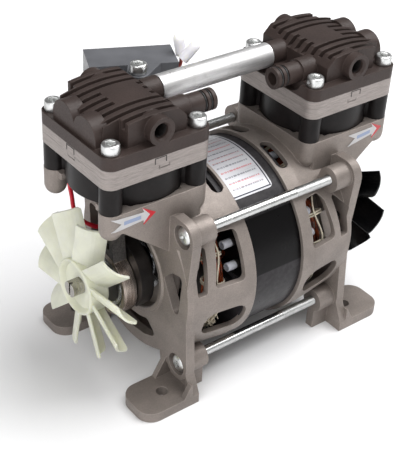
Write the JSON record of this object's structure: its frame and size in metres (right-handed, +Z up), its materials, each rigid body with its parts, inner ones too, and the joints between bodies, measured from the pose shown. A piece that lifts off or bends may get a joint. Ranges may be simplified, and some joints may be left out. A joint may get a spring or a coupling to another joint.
{
  "type": "piston vacuum pump",
  "caption": "oil-free rocking-piston vacuum pump, one finned cylinder head on each end of an open-frame motor, fans on both shaft ends, joined by an aluminium transfer tube",
  "frame": {"origin": "middle of the four foot holes, on the mounting plane", "axes": "X along the shaft, the intake end with the white fan at -X; Y across the pump, the side with the two threaded ports at -Y; Z up"},
  "size_m": [0.217, 0.1318, 0.1887],
  "materials": {
    "cast_bracket": "as-cast, matt",
    "laminations": "black paint over steel laminations, satin",
    "copper_wire": "enamelled copper, varnished",
    "lacing_cord": "waxed cord, matt",
    "white_insulation": "matt",
    "zinc_steel": "bright zinc plate",
    "ground_steel": "ground",
    "rotor_steel": "turned laminations with cast end rings",
    "bearing_steel": "polished",
    "sintered_steel": "dark, oiled",
    "black_steel": "blackened",
    "rod_casting": "cast, big end turned",
    "cup_ptfe": "filled fluoropolymer, satin",
    "retainer_alloy": "turned",
    "cylinder_black": "black hard-anodised, satin",
    "plate_alloy": "as-cast, matt",
    "reed_steel": "spring steel",
    "head_brown": "dark brown coating, matt",
    "tube_aluminium": "satin drawn",
    "o_ring_rubber": "matt",
    "white_nylon": "translucent natural nylon",
    "black_nylon": "gloss",
    "capacitor_case": "satin",
    "crimp_nylon": "translucent natural nylon",
    "lead_insulation": "smooth",
    "red_insulation": "smooth"
  },
  "bodies": {
    "housing": {"front_bracket": "cast_bracket", "rear_bracket": "cast_bracket", "stator_core": "laminations", "front_winding": "copper_wire", "rear_winding": "copper_wire", "front_lacing": "lacing_cord", "rear_lacing": "lacing_cord", "slot_caps": "white_insulation", "tie_bolts": "zinc_steel", "front_main_bearing": "bearing_steel", "rear_main_bearing": "bearing_steel", "front_cylinder": "cylinder_black", "rear_cylinder": "cylinder_black", "front_valve_plate": "plate_alloy", "rear_valve_plate": "plate_alloy", "front_chamber_plate": "plate_alloy", "rear_chamber_plate": "plate_alloy", "front_reeds": "reed_steel", "rear_reeds": "reed_steel", "front_head": "head_brown", "rear_head": "head_brown", "front_head_screws": "zinc_steel", "rear_head_screws": "zinc_steel", "transfer_tube": "tube_aluminium", "spigot_o_rings": "o_ring_rubber", "capacitor": "capacitor_case", "crimp_caps": "crimp_nylon", "capacitor_leads": "lead_insulation", "motor_lead": "red_insulation"},
    "rotor": {"shaft": "ground_steel", "rotor_core": "rotor_steel", "front_eccentric": "sintered_steel", "rear_eccentric": "sintered_steel", "eccentric_set_screws": "black_steel", "front_fan": "white_nylon", "rear_fan": "black_nylon"},
    "front_rod_body": {"front_rod": "rod_casting", "front_rod_bearing": "bearing_steel", "front_piston_cup": "cup_ptfe", "front_cup_retainer": "retainer_alloy", "front_piston_screw": "black_steel"},
    "rear_rod_body": {"rear_rod": "rod_casting", "rear_rod_bearing": "bearing_steel", "rear_piston_cup": "cup_ptfe", "rear_cup_retainer": "retainer_alloy", "rear_piston_screw": "black_steel"}
  },
  "joints": [
    {"name": "shaft_spin", "type": "hinge", "parent": "housing", "child": "rotor", "pos_m": [0, 0, 0.067], "axis": [1, 0, 0], "continuous": true},
    {"name": "front_rod_turn", "type": "hinge", "parent": "rotor", "child": "front_rod_body", "pos_m": [-0.0795, 0, 0.062], "axis": [1, 0, 0], "continuous": true, "deforming": ["front_piston_cup"]},
    {"name": "rear_rod_turn", "type": "hinge", "parent": "rotor", "child": "rear_rod_body", "pos_m": [0.0795, 0, 0.072], "axis": [1, 0, 0], "continuous": true, "deforming": ["rear_piston_cup"]}
  ],
  "couplings": [
    {"joint": "front_rod_turn", "follows": "shaft_spin", "ratio": -1},
    {"joint": "rear_rod_turn", "follows": "shaft_spin", "ratio": -1}
  ]
}
